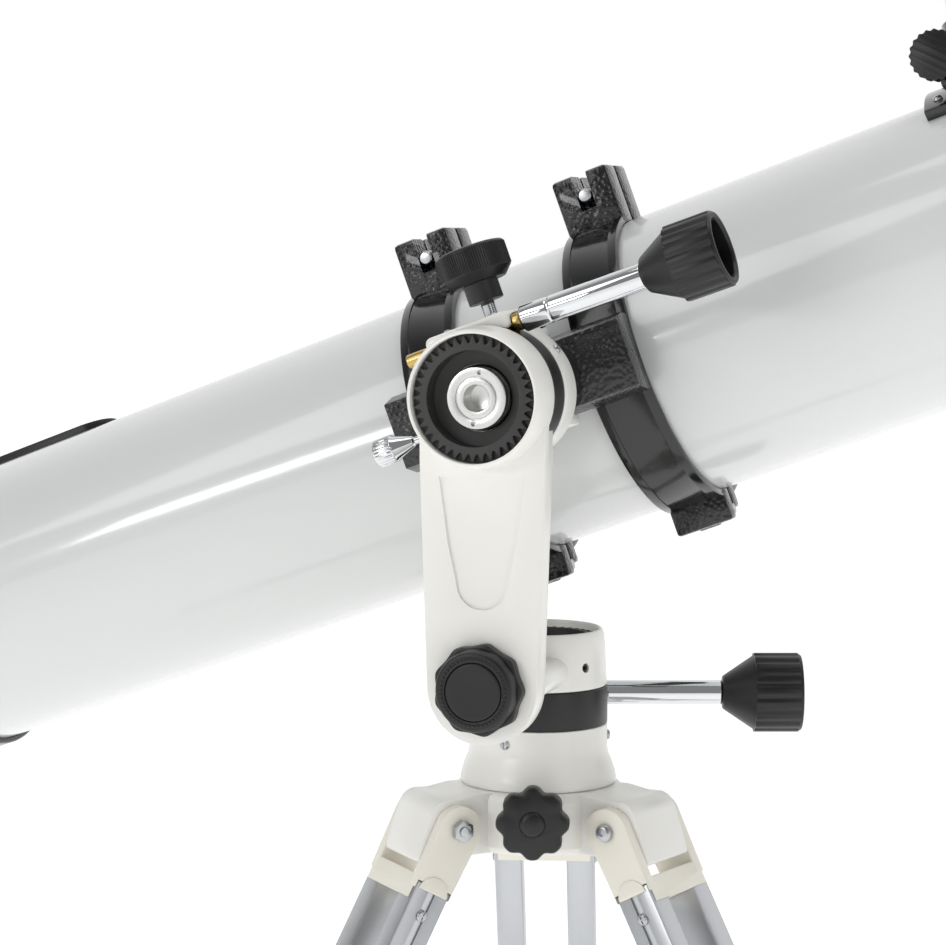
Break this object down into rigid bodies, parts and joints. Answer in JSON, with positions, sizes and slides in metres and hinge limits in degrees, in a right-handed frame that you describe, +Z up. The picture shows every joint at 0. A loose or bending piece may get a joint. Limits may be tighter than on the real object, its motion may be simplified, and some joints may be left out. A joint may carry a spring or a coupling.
{
  "type": "telescope on tripod",
  "caption": "White reflector tube in two black rings on a single-arm slow-motion alt-azimuth head and a folding aluminium tripod with an accessory tray.",
  "frame": {"origin": "on the floor, below the middle of the object's bounding box", "axes": "+Z up, +X the way the tube's open end leans, -Y the side with the arm and its clamp knob"},
  "size_m": [0.8835, 0.775, 1.2222],
  "materials": {
    "tube_white": "gloss",
    "head_white": "satin",
    "cream_plastic": "satin",
    "cast_black": "hammered gloss",
    "knob_black": "moulded",
    "cap_grey": "moulded",
    "chrome": "polished",
    "brass": "machined",
    "silver_alloy": "machined",
    "rail_aluminium": "satin anodised",
    "foot_rubber": "matte",
    "mirror_glass": "polished",
    "dark_optics": "satin"
  },
  "bodies": {
    "tripod": {"tripod_hub": "head_white", "head_plinth": "head_white"},
    "star_clamp": {"star_knob": "knob_black"},
    "leg_1": {"leg_bracket_1": "cream_plastic", "leg_rails_1": "rail_aluminium", "leg_clamp_1": "cream_plastic"},
    "lower_leg_1": {"leg_inner_1": "rail_aluminium", "leg_foot_1": "foot_rubber"},
    "clamp_screw_1": {"leg_clamp_knob_1": "knob_black"},
    "brace_1": {"brace_arm_1": "rail_aluminium"},
    "leg_2": {"leg_bracket_2": "cream_plastic", "leg_rails_2": "rail_aluminium", "leg_clamp_2": "cream_plastic"},
    "lower_leg_2": {"leg_inner_2": "rail_aluminium", "leg_foot_2": "foot_rubber"},
    "clamp_screw_2": {"leg_clamp_knob_2": "knob_black"},
    "brace_2": {"brace_arm_2": "rail_aluminium"},
    "leg_3": {"leg_bracket_3": "cream_plastic", "leg_rails_3": "rail_aluminium", "leg_clamp_3": "cream_plastic"},
    "lower_leg_3": {"leg_inner_3": "rail_aluminium", "leg_foot_3": "foot_rubber"},
    "clamp_screw_3": {"leg_clamp_knob_3": "knob_black"},
    "brace_3": {"brace_arm_3": "rail_aluminium"},
    "tray": {"accessory_tray": "knob_black"},
    "head": {"azimuth_band": "knob_black", "azimuth_collar": "head_white", "azimuth_gear_ring": "cap_grey"},
    "azimuth_drive": {"azimuth_rod": "chrome", "azimuth_knob": "knob_black"},
    "arm": {"arm": "head_white", "altitude_gear_ring": "cap_grey"},
    "arm_clamp": {"arm_clamp_knob": "knob_black"},
    "tube_assembly": {"saddle": "head_white", "altitude_band": "knob_black", "altitude_axle": "silver_alloy", "dovetail_bar": "cast_black", "ring_base_front": "cast_black", "ring_base_rear": "cast_black", "tube": "tube_white", "mirror_cell": "cast_black", "primary_mirror": "mirror_glass", "secondary_spider": "dark_optics", "secondary_mirror": "mirror_glass", "focuser_base": "cast_black", "finder_bracket": "cast_black", "finder_tube": "knob_black", "rear_grip": "knob_black"},
    "worm": {"worm_shaft": "brass"},
    "altitude_drive": {"altitude_rod": "chrome", "altitude_knob": "knob_black"},
    "saddle_lock": {"saddle_lock_knob": "knob_black"},
    "tension": {"tension_screw": "chrome"},
    "ring_lid_front": {"ring_lid_front": "cast_black"},
    "ring_bolt_front": {"ring_bolt_front": "chrome"},
    "ring_lid_rear": {"ring_lid_rear": "cast_black"},
    "ring_bolt_rear": {"ring_bolt_rear": "chrome"},
    "drawtube": {"focuser_drawtube": "chrome", "eyepiece": "dark_optics"},
    "focus_axle": {"focus_knobs": "knob_black"}
  },
  "joints": [
    {"name": "star_knob_turn", "type": "hinge", "parent": "tripod", "child": "star_clamp", "pos_m": [-0.0007, -0.056, 0.71236], "axis": [0.2538, -0.9673, 0], "range_deg": [0, 360]},
    {"name": "leg_1_fold", "type": "hinge", "parent": "tripod", "child": "leg_1", "pos_m": [-0.01631, 0.00349, 0.70636], "axis": [-0.9673, -0.2538, 0], "range_deg": [0, 28]},
    {"name": "leg_1_extend", "type": "slide", "parent": "leg_1", "child": "lower_leg_1", "axis": [-0.1191, 0.4541, -0.8829], "range_m": [-0.26, 0.04]},
    {"name": "leg_1_clamp_turn", "type": "hinge", "parent": "leg_1", "child": "clamp_screw_1", "pos_m": [-0.07308, 0.2199, 0.31113], "axis": [-0.2241, 0.854, 0.4695], "range_deg": [0, 360]},
    {"name": "brace_1_fold", "type": "hinge", "parent": "leg_1", "child": "brace_1", "pos_m": [-0.04116, 0.09822, 0.47529], "axis": [-0.9673, -0.2538, 0], "range_deg": [-57.6, 0]},
    {"name": "leg_2_fold", "type": "hinge", "parent": "tripod", "child": "leg_2", "pos_m": [-0.04441, -0.09926, 0.70636], "axis": [0.7034, -0.7108, 0], "range_deg": [0, 28]},
    {"name": "leg_2_extend", "type": "slide", "parent": "leg_2", "child": "lower_leg_2", "axis": [-0.3337, -0.3302, -0.8829], "range_m": [-0.26, 0.04]},
    {"name": "leg_2_clamp_turn", "type": "hinge", "parent": "leg_2", "child": "clamp_screw_2", "pos_m": [-0.20344, -0.25663, 0.31113], "axis": [-0.6276, -0.6211, 0.4695], "range_deg": [0, 360]},
    {"name": "brace_2_fold", "type": "hinge", "parent": "leg_2", "child": "brace_2", "pos_m": [-0.11403, -0.16815, 0.47529], "axis": [0.7034, -0.7108, 0], "range_deg": [-57.6, 0]},
    {"name": "leg_3_fold", "type": "hinge", "parent": "tripod", "child": "leg_3", "pos_m": [0.05862, -0.07223, 0.70636], "axis": [0.2639, 0.9646, 0], "range_deg": [0, 28]},
    {"name": "leg_3_extend", "type": "slide", "parent": "leg_3", "child": "lower_leg_3", "axis": [0.4528, -0.1239, -0.8829], "range_m": [-0.26, 0.04]},
    {"name": "leg_3_clamp_turn", "type": "hinge", "parent": "leg_3", "child": "clamp_screw_3", "pos_m": [0.27443, -0.13127, 0.31113], "axis": [0.8517, -0.233, 0.4695], "range_deg": [0, 360]},
    {"name": "brace_3_fold", "type": "hinge", "parent": "leg_3", "child": "brace_3", "pos_m": [0.15309, -0.09807, 0.47529], "axis": [0.2639, 0.9646, 0], "range_deg": [-57.6, 0]},
    {"name": "tray_level", "type": "hinge", "parent": "brace_1", "child": "tray", "pos_m": [-0.0073, -0.03085, 0.26389], "axis": [-0.9673, -0.2538, 0], "range_deg": [0, 29.5]},
    {"name": "azimuth", "type": "hinge", "parent": "tripod", "child": "head", "pos_m": [-0.0007, -0.056, 0.75686], "axis": [0, 0, 1], "continuous": true},
    {"name": "azimuth_knob_turn", "type": "hinge", "parent": "head", "child": "azimuth_drive", "pos_m": [0.08443, -0.00185, 0.76906], "axis": [0.9472, 0.3206, 0], "continuous": true},
    {"name": "arm_tilt", "type": "hinge", "parent": "head", "child": "arm", "pos_m": [-0.0007, -0.155, 0.78966], "axis": [0, -1, 0], "range_deg": [-10, 10]},
    {"name": "arm_clamp_turn", "type": "hinge", "parent": "arm", "child": "arm_clamp", "pos_m": [-0.0007, -0.161, 0.78966], "axis": [0, -1, 0], "range_deg": [0, 360]},
    {"name": "altitude", "type": "hinge", "parent": "arm", "child": "tube_assembly", "pos_m": [-0.0007, -0.155, 0.94136], "axis": [0, -1, 0], "range_deg": [-30, 25]},
    {"name": "altitude_knob_turn", "type": "hinge", "parent": "tube_assembly", "child": "altitude_drive", "pos_m": [0.01502, -0.134, 0.98129], "axis": [0.9438, 0, 0.3305], "continuous": true},
    {"name": "worm_turn", "type": "hinge", "parent": "tube_assembly", "child": "worm", "pos_m": [-0.0118, -0.134, 0.97137], "axis": [0.9379, 0, 0.3469], "continuous": true},
    {"name": "saddle_lock_turn", "type": "hinge", "parent": "tube_assembly", "child": "saddle_lock", "pos_m": [-0.0157, -0.101, 0.98912], "axis": [-0.3469, 0, 0.9379], "range_deg": [0, 360]},
    {"name": "tension_screw_turn", "type": "hinge", "parent": "tube_assembly", "child": "tension", "pos_m": [-0.04048, -0.117, 0.91918], "axis": [-0.9379, 0, -0.3469], "range_deg": [0, 360]},
    {"name": "ring_front_open", "type": "hinge", "parent": "tube_assembly", "child": "ring_lid_front", "pos_m": [0.07724, 0.014, 0.86613], "axis": [-0.9379, 0, -0.3469], "range_deg": [0, 75]},
    {"name": "ring_bolt_front_turn", "type": "hinge", "parent": "ring_lid_front", "child": "ring_bolt_front", "pos_m": [0.01025, 0.014, 1.04723], "axis": [0, 1, 0], "range_deg": [0, 360]},
    {"name": "ring_rear_open", "type": "hinge", "parent": "tube_assembly", "child": "ring_lid_rear", "pos_m": [-0.01749, 0.014, 0.83109], "axis": [-0.9379, 0, -0.3469], "range_deg": [0, 75]},
    {"name": "ring_bolt_rear_turn", "type": "hinge", "parent": "ring_lid_rear", "child": "ring_bolt_rear", "pos_m": [-0.08448, 0.014, 1.01219], "axis": [0, 1, 0], "range_deg": [0, 360]},
    {"name": "focus_travel", "type": "slide", "parent": "tube_assembly", "child": "drawtube", "axis": [-0.3469, 0, 0.9379], "range_m": [-0.02, 0.03]},
    {"name": "focus_knob_turn", "type": "hinge", "parent": "tube_assembly", "child": "focus_axle", "pos_m": [0.20936, 0.014, 1.12003], "axis": [0, -1, 0], "range_deg": [-130, 195]}
  ],
  "couplings": [
    {"joint": "brace_1_fold", "follows": "leg_1_fold", "ratio": -2.0486},
    {"joint": "leg_2_fold", "follows": "leg_1_fold", "ratio": 1},
    {"joint": "brace_2_fold", "follows": "leg_1_fold", "ratio": -2.0486},
    {"joint": "leg_3_fold", "follows": "leg_1_fold", "ratio": 1},
    {"joint": "brace_3_fold", "follows": "leg_1_fold", "ratio": -2.0486},
    {"joint": "tray_level", "follows": "leg_1_fold", "ratio": 1.0486},
    {"joint": "worm_turn", "follows": "altitude_knob_turn", "ratio": 1},
    {"joint": "focus_knob_turn", "follows": "focus_travel", "rad_per_m": 111.11}
  ]
}
